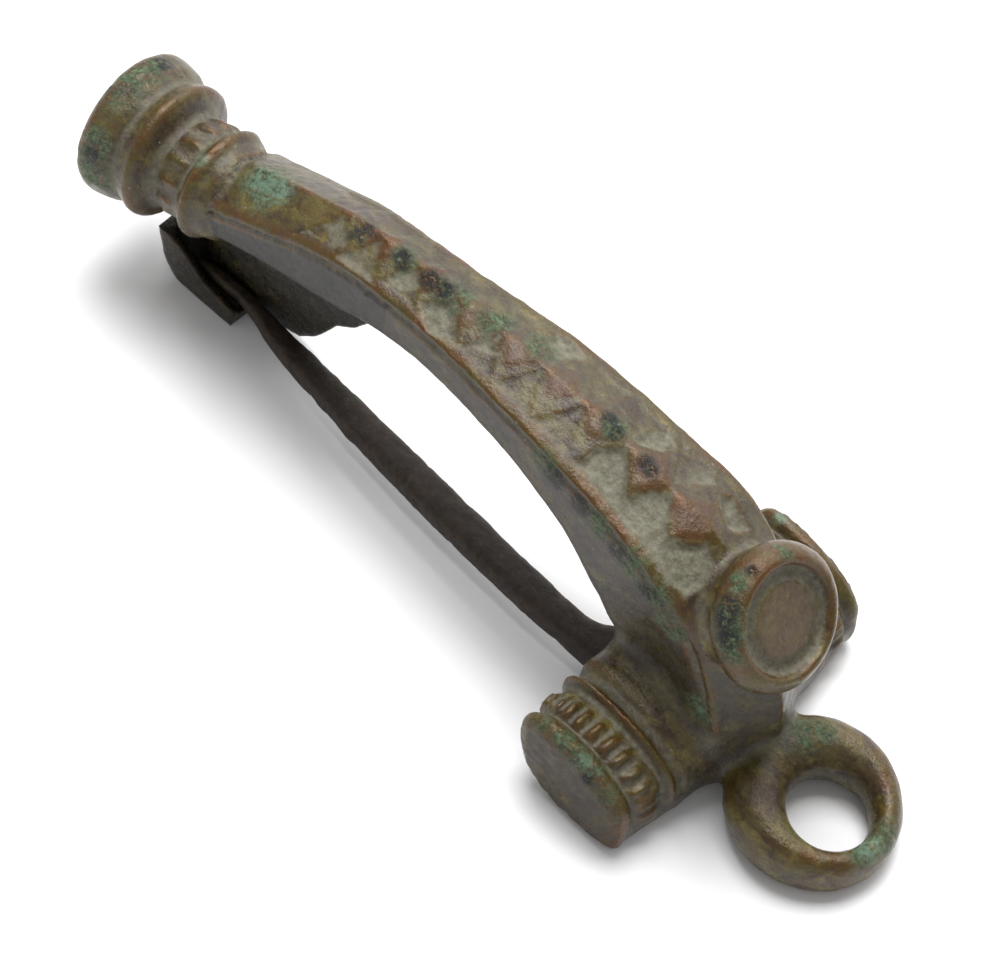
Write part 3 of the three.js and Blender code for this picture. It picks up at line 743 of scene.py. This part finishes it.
def casting_patina(settings):
    """Brown-olive patina with orange-brown crests, pale dirt in the hollows and green corrosion, with painted shade in
    near-black on deep creases and the catch, and painted sheen in grey-lilac on the far facet.
    """
    f = Finish("casting_patina")
    fine = f.cloud(0.28, 6, 0.75, 0.3, 0.7)
    colour = f.over(tone(56, 38, 20), tone(94, 84, 38), f.cloud(1.5, 6, 0.65, 0.4, 0.6, 0.6, (0.45, 1, 1)))
    gold = f.cloud(0.75, 6, 0.7, 0.5, 0.68, 0.4, (0.5, 1, 1))
    colour = f.over(colour, tone(132, 118, 56), f.sums("MULTIPLY", gold, 0.75))
    umber = f.cloud(0.6, 6, 0.72, 0.52, 0.66, 0.3)
    colour = f.over(colour, tone(46, 28, 16), f.sums("MULTIPLY", umber, 0.8))
    rust = f.over(tone(66, 40, 14), tone(104, 66, 24), fine)
    rusty = f.sums("MAXIMUM", f.mark("rust"), f.sums("MULTIPLY", f.cloud(2.2, 5, 0.7, 0.56, 0.68), 0.6))
    colour = f.over(colour, rust, f.sums("MULTIPLY", rusty, f.cloud(0.5, 5, 0.7, 0.25, 0.5)))
    # grey-lilac of the side walls, the head and the knob; on the far facet it is painted sheen
    lilac = f.over(tone(74, 68, 60), tone(50, 42, 34), f.cloud(0.7, 6, 0.7))
    side = f.sums("MULTIPLY", f.mark("side"), f.cloud(1.3, 6, 0.65, 0.3, 0.6))
    colour = f.over(colour, lilac, side)
    crest = f.sums("MULTIPLY", f.mark("crest"), f.cloud(0.5, 5, 0.7, 0.3, 0.55))
    colour = f.over(colour, f.over(tone(98, 58, 22), tone(86, 76, 30), f.cloud(2.5)), crest)
    dust = f.over(tone(120, 116, 98), tone(84, 78, 62), f.cloud(0.3, 6, 0.75))
    dirt = f.sums("MULTIPLY", f.mark("dirt"), f.cloud(0.5, 6, 0.72, 0.28, 0.52))
    colour = f.over(colour, dust, f.sums("MULTIPLY", dirt, 0.9))
    grey = f.over(tone(134, 132, 112), tone(96, 90, 72), f.cloud(0.5, 6, 0.75, 0.38, 0.62))
    filled = f.sums("MULTIPLY", f.mark("pale"), f.cloud(0.45, 6, 0.75, 0.3, 0.46))
    colour = f.over(colour, grey, filled)
    # painted shade: near-black laid into deep creases, on the catchplate and on the bow's lower sides near the foot,
    # where the bow's shadow falls
    painted_shade = f.sums("MULTIPLY", f.mark("painted_shade"), f.cloud(0.4, 5, 0.7, 0.2, 0.5))
    colour = f.over(colour, tone(20, 18, 13), painted_shade)
    green = f.over(tone(46, 62, 34), tone(112, 132, 98), f.cloud(0.25, 6, 0.8, 0.42, 0.6))
    corroded = f.sums("MULTIPLY", f.mark("green"), f.cloud(0.6, 6, 0.75, 0.42, 0.54))
    colour = f.over(colour, green, corroded)
    bright = f.sums("MULTIPLY", f.mark("turquoise"), f.cloud(0.5, 6, 0.75, 0.4, 0.54))
    colour = f.over(colour, f.over(tone(124, 150, 128), tone(88, 118, 92), fine), bright)
    black = f.sums("MULTIPLY", f.mark("black"), f.cloud(0.32, 6, 0.75, 0.44, 0.5))
    colour = f.over(colour, tone(10, 14, 12), black)
    flake = f.sums("MULTIPLY", flecks(f, 0.4, 0.1), 0.6)
    colour = f.over(colour, tone(150, 146, 128), flake)
    f.join(f.shader.inputs["Base Color"], colour)

    covered = f.sums("MAXIMUM", f.sums("MAXIMUM", dirt, filled), f.sums("MAXIMUM", corroded, bright))
    rough = f.between(f.cloud(0.6, 6, 0.75, 0.3, 0.7), 0, 1, 0.2, 0.38)
    rough = f.sums("ADD", rough, f.sums("MULTIPLY", covered, 0.34))
    rough = f.sums("ADD", rough, f.sums("MULTIPLY", side, 0.12))
    f.join(f.shader.inputs["Roughness"], f.sums("SUBTRACT", rough, f.sums("MULTIPLY", crest, 0.1)))
    f.join(f.shader.inputs["Metallic"], f.sums("MULTIPLY", crest, 0.3))

    normal = f.bump(f.cloud(0.9, 5, 0.6, 0.0, 1.0), 0.10)
    normal = f.bump(f.cloud(0.2, 6, 0.72, 0.0, 1.0), 0.04, under=normal)
    normal = f.bump(f.sums("MULTIPLY", f.mark("rough"), f.cloud(0.3, 6, 0.8, 0, 1)), 0.12, under=normal)
    normal = f.bump(f.sums("MULTIPLY", f.sums("MAXIMUM", corroded, black), fine), 0.05, under=normal)
    normal = f.bump(flecks(f, 0.6, 0.2), 0.03, under=normal)
    f.join(f.shader.inputs["Normal"], normal)
    return f.material


def pin_patina(settings):
    """Dark brown-grey, rough from corrosion."""
    f = Finish("pin_patina")
    colour = f.over(tone(52, 38, 28), tone(34, 25, 17), f.cloud(1.2, 6, 0.65))
    colour = f.over(colour, tone(72, 58, 38), f.sums("MULTIPLY", f.mark("crest"), f.cloud(0.5, 5, 0.7)))
    colour = f.over(colour, tone(78, 72, 58), f.sums("MULTIPLY", f.mark("dirt"), f.cloud(0.4, 6, 0.7)))
    green = f.sums("MULTIPLY", f.cloud(1.8, 6, 0.7, 0.6, 0.72), 0.5)
    colour = f.over(colour, tone(60, 72, 48), green)
    f.join(f.shader.inputs["Base Color"], colour)
    f.join(f.shader.inputs["Roughness"], f.cloud(0.5, 6, 0.7, -0.6, 1.1))
    f.shader.inputs["Metallic"].default_value = 0.15
    normal = f.bump(f.cloud(0.6, 6, 0.7, 0.0, 1.0), 0.12)
    normal = f.bump(f.cloud(0.18, 5, 0.7, 0.0, 1.0), 0.04, under=normal)
    f.join(f.shader.inputs["Normal"], normal)
    return f.material


def bar_patina(settings):
    """Dull brown, worn by the pin."""
    f = Finish("bar_patina")
    colour = f.over(tone(92, 74, 50), tone(60, 48, 34), f.cloud(0.8, 6, 0.65))
    f.join(f.shader.inputs["Base Color"], colour)
    f.join(f.shader.inputs["Roughness"], f.cloud(0.4, 5, 0.6, -0.5, 1.3))
    f.shader.inputs["Metallic"].default_value = 0.4
    f.join(f.shader.inputs["Normal"], f.bump(f.cloud(0.25, 5, 0.7, 0.0, 1.0), 0.04))
    return f.material


def floor_paper():
    """White paper, very slightly uneven."""
    f = Finish("floor_paper")
    f.join(f.shader.inputs["Base Color"], f.over(tone(246, 246, 246, 1), tone(241, 241, 243, 1), f.cloud(30)))
    f.shader.inputs["Roughness"].default_value = 0.9
    return f.material


# ---------------------------------------------------------------- finished pieces

def to_row(mesh):
    """From millimetres in the brooch's own frame to metres in the row's."""
    mesh.transform(Matrix.Translation((FRAME_X * MM, 0, 0)) @ Matrix.Scale(MM, 4))


def placed(name, mesh, material, body, slot, *nodes):
    mesh.materials.clear()
    mesh.materials.append(material)
    mesh.shade_smooth()
    item = bpy.data.objects.new(name, mesh)
    bpy.context.scene.collection.objects.link(item)
    mesh.name = name
    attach(item, body)
    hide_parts(*nodes)
    return item


def cut_away(mesh, shells, smooth=False):
    """Cuts closed shells out of a mesh, one after the other."""
    item = bpy.data.objects.new("work", mesh)
    bpy.context.scene.collection.objects.link(item)
    cutters = [temporary(*shell_of, name="cutter") for shell_of in shells]
    for cutter in cutters:
        cut = item.modifiers.new("cut", "BOOLEAN")
        cut.operation = "DIFFERENCE"
        cut.solver = "MANIFOLD"
        cut.object = cutter
    bpy.context.view_layer.update()
    whole = len(mesh.polygons)
    result = settled(item)
    for cutter in cutters:
        bpy.data.objects.remove(cutter)
    if len(result.polygons) < 0.5 * whole:
        raise RuntimeError("the cut lost most of the piece")
    return result


def casting_mesh(settings):
    parts = {
        "bow": [bow_shell()], "knob": [knob_shell()], "stud": [stud_shell()],
        "wings": [wings_shell()], "loop": [loop_shell()], "catch": catch_shells(),
    }
    skin = Skin(skinned([shell_of for part in parts.values() for shell_of in part], settings.voxel))
    points = skin.points
    away = {name: distance_to(points, shells) for name, shells in parts.items()}
    skin.relax(np.full(skin.count, 0.5), 2)

    # fillets where the cast shapes flow together
    def junction(one, other, reach):
        return smooth_step(reach, 0.35 * reach, np.maximum(away[one], away[other]))

    flow = junction("bow", "wings", 1.7)
    flow = np.maximum(flow, junction("wings", "loop", 0.8))
    skin.relax(flow, 110)
    tight = junction("bow", "stud", 0.9)
    tight = np.maximum(tight, junction("bow", "catch", 0.8))
    tight = np.maximum(tight, junction("bow", "knob", 0.45))
    tight = np.maximum(tight, junction("stud", "wings", 0.8))
    skin.relax(tight, 30)
    points = skin.points

    owner = np.argmin(np.stack([away[name] for name in parts]), 0)
    names = list(parts)
    on = {name: owner == names.index(name) for name in names}

    # zig-zag of lozenges between sunk cells, on the roof
    place, ridge_x, below, half, drop = bow_places(points)
    across = points[:, 1]
    roof = on["bow"] & (below < 1.05) & (place < 0.72)
    ragged = 0.13 * grain(points, 0.8, 3, 1.0)
    sunk, pale = filled_cells(points[:, 0] + ragged, across - ragged)
    raised, rust = lozenges(points[:, 0] + 0.5 * ragged, across)
    faint = WORN_CELL_DEPTH * worn_cells(ridge_x, across, half)
    relief = np.where(roof, raised - np.maximum(sunk * settings.cell_depth, faint), 0)
    pale, rust = np.where(roof, pale, 0), np.where(roof, rust * (1 - pale), 0)

    # groove along the side under the roof's edge, and the dip where the bow leaves the knob
    level, breadth, depth = MARGIN_GROOVE
    under = (below - 1) * drop
    margin = np.exp(-((under - level) / breadth) ** 2) * on["bow"]
    margin *= smooth_step(0.86, 0.7, place) * (np.abs(across) > 0.6 * half)
    dip = np.exp(-((ridge_x + 30.75) / 0.45) ** 2) * on["bow"] * (below < 1.6)
    relief -= depth * margin + 0.22 * dip

    waves = 0.05 * grain(points, 3.2, 2, 2.0) + 0.022 * grain(points, 0.8, 2, 3.0)
    end_face = (np.abs(across) > WING_HALF_SPAN - 0.35) & on["wings"]
    waves += np.where(end_face, 0.07 * grain(points, 0.5, 3, 4.0), 0)
    corroded = near_spots(points, GREEN_SPOTS)
    waves += 0.04 * (corroded + pale) * grain(points, 0.35, 3, 5.0)
    skin.points = points + (waves + relief)[:, None] * skin.normals()
    skin.points[:, 2] = np.maximum(skin.points[:, 2], 0.0)

    hollow = skin.hollowness(1)
    broad = skin.spread(hollow, 12)
    normals = skin.normals()
    dirt = np.maximum(smooth_step(0.6, 2.2, hollow), smooth_step(0.3, 1.0, broad))
    crest = np.maximum(smooth_step(0.6, 2.2, -hollow), smooth_step(0.5, 1.2, -broad))
    rise, radius = stud_place(points)
    disc = on["stud"] & (rise > -0.5) & (radius < 2.0)
    ring = on["stud"] & (rise > -0.6) & (radius > 2.1) & (radius < 2.95)
    rim = on["stud"] & (rise > -0.9) & (radius > 3.0) & (points[:, 2] > 12.5)
    dirt = np.where(disc, 0.25, np.where(ring, 1.0, dirt))
    side = smooth_step(0.8, 0.4, normals[:, 2]) * (on["bow"] | on["wings"])
    head = smooth_step(3.0, 7.0, points[:, 0]) * on["bow"]
    # painted sheen: the far facet, which faces the back light, takes half of the grey-lilac side colour
    far_roof_sheen = smooth_step(0.05, 0.3, normals[:, 1]) * roof
    # painted shade: the catchplate and the bow's lower sides towards the foot lie in the bow's shadow and are marked
    # for near-black
    shade_under_bow = (on["catch"] | (on["bow"] & (below > 1.6) & (points[:, 0] < -18))) * 1.0
    strip = roof * smooth_step(0.74, 0.86, np.abs(across) / half) * (across < 0)
    skin.mark("dirt", np.maximum(dirt, dip))
    skin.mark("pale", np.maximum(pale, near_spots(points, CHIPS)))
    skin.mark("rust", np.maximum(np.maximum(rust, 0.7 * strip), np.where(rim, 0.9, 0.6 * disc)))
    skin.mark("crest", crest)
    # the side mark carries the real grey-lilac of the sides, head and knob, and painted sheen on the far facet
    skin.mark("side", np.clip(side + 0.6 * head + 0.5 * far_roof_sheen + 0.4 * on["knob"], 0, 1))
    # the painted shade mark: deep creases and the shaded catch and lower bow, painted near-black
    skin.mark("painted_shade", np.maximum(0.8 * smooth_step(3.5, 8.0, hollow), shade_under_bow * 0.9))
    skin.mark("green", corroded)
    skin.mark("turquoise", near_spots(points, TURQUOISE_SPOTS))
    skin.mark("black", near_spots(points, BLACK_SPOTS))
    skin.mark("rough", np.where(end_face, 1.0, 0.25 * on["catch"]))
    skin.store()
    print("casting", len(skin.mesh.polygons), np.percentile(hollow, [1, 10, 50, 90, 99]))

    reach = (HINGE_X - 1, HINGE_X + SLOT_RADIUS)
    return cut_away(skin.mesh, [
        rod(SLOT_RADIUS, SLOT_Y, HINGE_X, HINGE_Z),
        block((SLOT_MOUTH_X, HINGE_X), SLOT_Y, (-1, HINGE_Z + SLOT_RADIUS)),
        block(reach, SLOT_Y, (-1, HINGE_Z)),
        rod(BORE_RADIUS, (BAR_NEAR_Y - 0.3, WING_HALF_SPAN + 1), HINGE_X, HINGE_Z),
    ])


def pin_shaft():
    """A flattened shaft with rounded corners, from the stations."""
    stations = spline(PIN_STATIONS, np.linspace(0, 1, 220))
    angle = np.linspace(0, 2 * math.pi, 48, endpoint=False)
    square = 0.62
    wide = np.sign(np.cos(angle)) * np.abs(np.cos(angle)) ** square
    high = np.sign(np.sin(angle)) * np.abs(np.sin(angle)) ** square
    x, y, z, width, thick = (stations[:, k][:, None] for k in range(5))
    rings = np.stack([x + 0 * wide, y + wide * width / 2, z + high * thick / 2], -1)
    return shell(rings)


def pin_head_block():
    """The shoulder that runs from the shaft out to the far side of the head."""
    low, high = PIN_HEAD_Y
    across = [(-2.0, low + 0.15), (HINGE_X, low), (HINGE_X, high), (1.6, high), (1.1, 1.15),
              (0.6, 0.65), (0.15, 0.1), (-0.3, -0.4), (-0.9, -0.95), (-2.0, -1.3)]
    bottom = np.array([(x, y, PIN_Z - PIN_THICKNESS / 2) for x, y in across])
    top = np.array([(x, y, PIN_Z + PIN_THICKNESS / 2) for x, y in across])
    count = len(across)
    faces = [list(range(count - 1, -1, -1)), list(range(count, 2 * count))]
    for i in range(count):
        j = (i + 1) % count
        faces.append([i, j, count + j, count + i])
    return np.concatenate([bottom, top]), faces


def pin_mesh(settings):
    head = rod(PIN_HEAD_RADIUS, PIN_HEAD_Y, HINGE_X, HINGE_Z)
    skin = Skin(skinned([head, pin_head_block(), pin_shaft()], settings.voxel))
    skin.relax(np.full(skin.count, 1.0), 4)
    shoulder = smooth_step(3.4, 1.5, np.abs(skin.points[:, 0] - 0.2))
    skin.relax(shoulder, 40)
    points = skin.points
    pits = np.minimum(grain(points, 0.9, 3, 6.0), 0)
    waves = 0.05 * grain(points, 1.6, 3, 7.0) + 0.07 * pits
    thin = smooth_step(-32.6, -27.0, points[:, 0])
    skin.points = points + (waves * (0.25 + 0.75 * thin))[:, None] * skin.normals()
    hollow = skin.hollowness(2)
    skin.mark("dirt", smooth_step(0.6, 2.0, hollow))
    skin.mark("crest", smooth_step(0.6, 2.0, -hollow))
    skin.store()
    bore = rod(BORE_RADIUS, (PIN_HEAD_Y[0] - 1, PIN_HEAD_Y[1] + 1), HINGE_X, HINGE_Z)
    return cut_away(skin.mesh, [bore])


# ---------------------------------------------------------------- settings

class CastingSettings(bpy.types.PropertyGroup):
    voxel: FloatProperty(name="Skin grain", description="Cell of the skin, in millimetres",
                         default=0.17, min=0.1, max=1.0)
    cell_depth: FloatProperty(name="Cell depth", description="Depth of the filled cells, 1 as found",
                              default=1.0, min=0.0, max=2.0)


class PinSettings(bpy.types.PropertyGroup):
    voxel: FloatProperty(name="Skin grain", description="Cell of the skin, in millimetres",
                         default=0.12, min=0.08, max=1.0)


class StageSettings(bpy.types.PropertyGroup):
    floor_size: FloatProperty(name="Floor", description="Side of the paper", default=3.0,
                              unit="LENGTH")
    back_power: FloatProperty(name="Back light", description="Power of the lamp behind the brooch",
                              default=1.8, unit="POWER")
    top_power: FloatProperty(name="Top light", description="Power of the lamp overhead",
                             default=2.9, unit="POWER")
    fill: FloatProperty(name="Fill light", description="Strength of the room's light", default=0.45,
                        min=0.0)
    camera_turn: FloatProperty(name="Camera turn", description="From behind the near wing",
                               default=math.radians(29.88), subtype="ANGLE")
    camera_height: FloatProperty(name="Camera height", description="Above the floor",
                                 default=math.radians(57.01), subtype="ANGLE")
    camera_roll: FloatProperty(name="Camera roll", description="Turn of the picture",
                               default=math.radians(15.43), subtype="ANGLE")
    camera_distance: FloatProperty(name="Camera distance", description="To the hinge",
                                   default=0.32, unit="LENGTH")


# ---------------------------------------------------------------- operators

class FIBULA_OT_casting(bpy.types.Operator):
    """Makes the cast brooch with its relief, wear and patina"""
    bl_idname = "fibula.casting"
    bl_label = "Cast brooch"

    def execute(self, context):
        settings = context.scene.fibula_casting
        mesh = casting_mesh(settings)
        to_row(mesh)
        placed("cast_brooch", mesh, casting_patina(settings), "brooch", "casting", "brooch_casting")
        return {"FINISHED"}


class FIBULA_OT_pin(bpy.types.Operator):
    """Makes the pin with its head and corroded shaft"""
    bl_idname = "fibula.pin"
    bl_label = "Pin"

    def execute(self, context):
        settings = context.scene.fibula_pin
        mesh = pin_mesh(settings)
        to_row(mesh)
        placed("brooch_pin", mesh, pin_patina(settings), "pin", "pin", "pin")
        return {"FINISHED"}


class FIBULA_OT_hinge_bar(bpy.types.Operator):
    """Gives the hinge bar its finish"""
    bl_idname = "fibula.hinge_bar"
    bl_label = "Hinge bar"

    def execute(self, context):
        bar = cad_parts["hinge_bar"]
        bar.data.materials.clear()
        bar.data.materials.append(bar_patina(context.scene.fibula_pin))
        return {"FINISHED"}


class FIBULA_OT_stage(bpy.types.Operator):
    """Makes the floor, the lights and the camera"""
    bl_idname = "fibula.stage"
    bl_label = "Stage"

    def execute(self, context):
        settings = context.scene.fibula_stage
        make_floor(settings)
        make_lights(context, settings)
        make_camera(context, settings)
        return {"FINISHED"}


def make_floor(settings):
    half = settings.floor_size / 2
    mesh = bpy.data.meshes.new("floor")
    mesh.from_pydata([(-half, -half, 0), (half, -half, 0), (half, half, 0), (-half, half, 0)], [],
                     [(0, 1, 2, 3)])
    mesh.materials.append(floor_paper())
    floor = bpy.data.objects.new("floor", mesh)
    bpy.context.scene.collection.objects.link(floor)


def lamp(name, power, size, at, toward):
    light = bpy.data.lights.new(name, "AREA")
    light.energy = power
    light.shape = "RECTANGLE"
    light.size, light.size_y = size
    item = bpy.data.objects.new(name, light)
    item.location = at
    item.rotation_euler = (Vector(toward) - Vector(at)).to_track_quat("-Z", "Y").to_euler()
    bpy.context.scene.collection.objects.link(item)


def make_lights(context, settings):
    world = bpy.data.worlds.new("room")
    world.use_nodes = True
    world.node_tree.nodes["Background"].inputs["Color"].default_value = (1, 1, 1, 1)
    world.node_tree.nodes["Background"].inputs["Strength"].default_value = settings.fill
    context.scene.world = world
    lamp("back", settings.back_power, (0.7, 0.3), (-0.1, 0.5, 0.32), (0, 0, 0))
    lamp("top", settings.top_power, (0.28, 0.28), (-0.12, 0.1, 0.46), (0, 0, 0))
    context.scene.view_settings.view_transform = "Standard"
    context.scene.view_settings.look = "None"


def make_camera(context, settings):
    turn, rise, roll = settings.camera_turn, settings.camera_height, settings.camera_roll
    back = Vector((math.sin(turn) * math.cos(rise), -math.cos(turn) * math.cos(rise), math.sin(rise)))
    level = Vector((math.cos(turn), math.sin(turn), 0))
    upright = level.cross(-back)
    right = math.cos(roll) * level + math.sin(roll) * upright
    up = -math.sin(roll) * level + math.cos(roll) * upright
    # the hinge side of the brooch stands right of the picture's middle and below it
    aside, lower = 6.511, 8.896
    where = Vector((FRAME_X, 0, 0)) + settings.camera_distance / MM * back - aside * right + lower * up
    camera = bpy.data.cameras.new("camera")
    camera.lens = 211.97
    camera.sensor_width = 36
    camera.clip_start = 0.005
    item = bpy.data.objects.new("camera", camera)
    basis = Matrix((right, up, back)).transposed()
    item.matrix_world = Matrix.Translation(where * MM) @ basis.to_4x4()
    context.scene.collection.objects.link(item)
    context.scene.camera = item


class FIBULA_PT_panel(bpy.types.Panel):
    """Lists the brooch's pieces and their settings"""
    bl_idname = "FIBULA_PT_panel"
    bl_label = "Fibula"
    bl_space_type = "VIEW_3D"
    bl_region_type = "UI"
    bl_category = "Fibula"

    def draw(self, context):
        rows = (("fibula.casting", "fibula_casting"), ("fibula.pin", "fibula_pin"),
                ("fibula.hinge_bar", None), ("fibula.stage", "fibula_stage"))
        for operator, group in rows:
            self.layout.operator(operator)
            if group:
                settings = getattr(context.scene, group)
                for name in settings.__annotations__:
                    self.layout.prop(settings, name)


SETTINGS = {"fibula_casting": CastingSettings, "fibula_pin": PinSettings,
            "fibula_stage": StageSettings}
CLASSES = (CastingSettings, PinSettings, StageSettings, FIBULA_OT_casting, FIBULA_OT_pin,
           FIBULA_OT_hinge_bar, FIBULA_OT_stage, FIBULA_PT_panel)


def register():
    for item in CLASSES:
        bpy.utils.register_class(item)
    for name, group in SETTINGS.items():
        setattr(bpy.types.Scene, name, PointerProperty(type=group))


def unregister():
    for name in SETTINGS:
        delattr(bpy.types.Scene, name)
    for item in reversed(CLASSES):
        bpy.utils.unregister_class(item)


def main():
    register()
    bpy.ops.fibula.stage()
    bpy.ops.fibula.casting()
    bpy.ops.fibula.pin()
    bpy.ops.fibula.hinge_bar()


if __name__ == "__main__":
    main()
